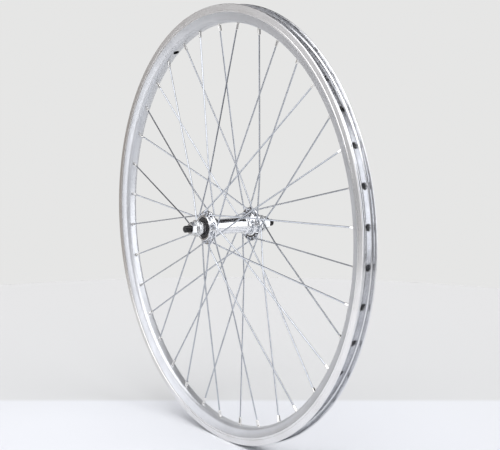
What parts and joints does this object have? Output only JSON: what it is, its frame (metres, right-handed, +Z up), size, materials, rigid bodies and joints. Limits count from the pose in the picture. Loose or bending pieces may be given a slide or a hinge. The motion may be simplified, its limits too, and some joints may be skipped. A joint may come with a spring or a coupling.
{
  "type": "bicycle front wheel",
  "caption": "Bare bicycle front wheel: double-wall aluminium rim with brake tracks, crossed steel spokes and a polished hub on a solid nutted axle.",
  "frame": {"origin": "centre of the wheel, on the axle's axis in the middle plane of the rim", "axes": "+Y along the axle, towards the wheel's left side, +Z up, +X forwards: the wheel rolls towards +X"},
  "size_m": [0.571, 0.138, 0.571],
  "materials": {
    "rim_aluminium": "satin anodised, with machined bright brake tracks",
    "plain_aluminium": "plain extruded",
    "polished_aluminium": "polished",
    "spoke_steel": "drawn bright wire, zinc plated",
    "nickel_brass": "nickel plated",
    "race_steel": "hardened and ground",
    "seal_rubber": "matt black",
    "ball_steel": "polished",
    "retainer_steel": "pressed, oiled",
    "black_steel": "black oxide",
    "zinc_steel": "bright zinc plated"
  },
  "bodies": {
    "axle_set": {"axle": "black_steel", "cone_right": "race_steel", "cone_left": "race_steel", "spacer_right": "zinc_steel", "spacer_left": "zinc_steel", "locknut_right": "zinc_steel", "locknut_left": "zinc_steel"},
    "wheel": {"rim": "rim_aluminium", "rim_sleeve": "plain_aluminium", "hub_shell": "polished_aluminium", "spokes_right_trailing": "spoke_steel", "spokes_right_leading": "spoke_steel", "spokes_left_trailing": "spoke_steel", "spokes_left_leading": "spoke_steel", "nipples_right": "nickel_brass", "nipples_left": "nickel_brass", "bearing_cup_right": "race_steel", "bearing_cup_left": "race_steel", "dust_seal_right": "seal_rubber", "dust_seal_left": "seal_rubber"},
    "ball_set_right": {"balls_right": "ball_steel", "ball_retainer_right": "retainer_steel"},
    "ball_set_left": {"balls_left": "ball_steel", "ball_retainer_left": "retainer_steel"},
    "washer_right": {"axle_washer_right": "zinc_steel"},
    "nut_right": {"axle_nut_right": "zinc_steel"},
    "washer_left": {"axle_washer_left": "zinc_steel"},
    "nut_left": {"axle_nut_left": "zinc_steel"}
  },
  "joints": [
    {"name": "wheel_spin", "type": "hinge", "parent": "axle_set", "child": "wheel", "pos_m": [0, 0, 0], "axis": [0, 1, 0], "continuous": true},
    {"name": "ball_set_right_spin", "type": "hinge", "parent": "axle_set", "child": "ball_set_right", "pos_m": [0, 0, 0], "axis": [0, 1, 0], "continuous": true},
    {"name": "ball_set_left_spin", "type": "hinge", "parent": "axle_set", "child": "ball_set_left", "pos_m": [0, 0, 0], "axis": [0, 1, 0], "continuous": true},
    {"name": "washer_right_slide", "type": "slide", "parent": "axle_set", "child": "washer_right", "axis": [0, -1, 0], "range_m": [0, 0.006]},
    {"name": "nut_right_turn", "type": "hinge", "parent": "washer_right", "child": "nut_right", "pos_m": [0, 0, 0], "axis": [0, -1, 0], "range_deg": [0, 2160]},
    {"name": "washer_left_slide", "type": "slide", "parent": "axle_set", "child": "washer_left", "axis": [0, 1, 0], "range_m": [0, 0.006]},
    {"name": "nut_left_turn", "type": "hinge", "parent": "washer_left", "child": "nut_left", "pos_m": [0, 0, 0], "axis": [0, 1, 0], "range_deg": [0, 2160]}
  ],
  "couplings": [
    {"joint": "ball_set_right_spin", "follows": "wheel_spin", "ratio": 0.5946},
    {"joint": "ball_set_left_spin", "follows": "wheel_spin", "ratio": 0.5946},
    {"joint": "washer_right_slide", "follows": "nut_right_turn", "m_per_rad": 0.00015915},
    {"joint": "washer_left_slide", "follows": "nut_left_turn", "m_per_rad": 0.00015915}
  ]
}
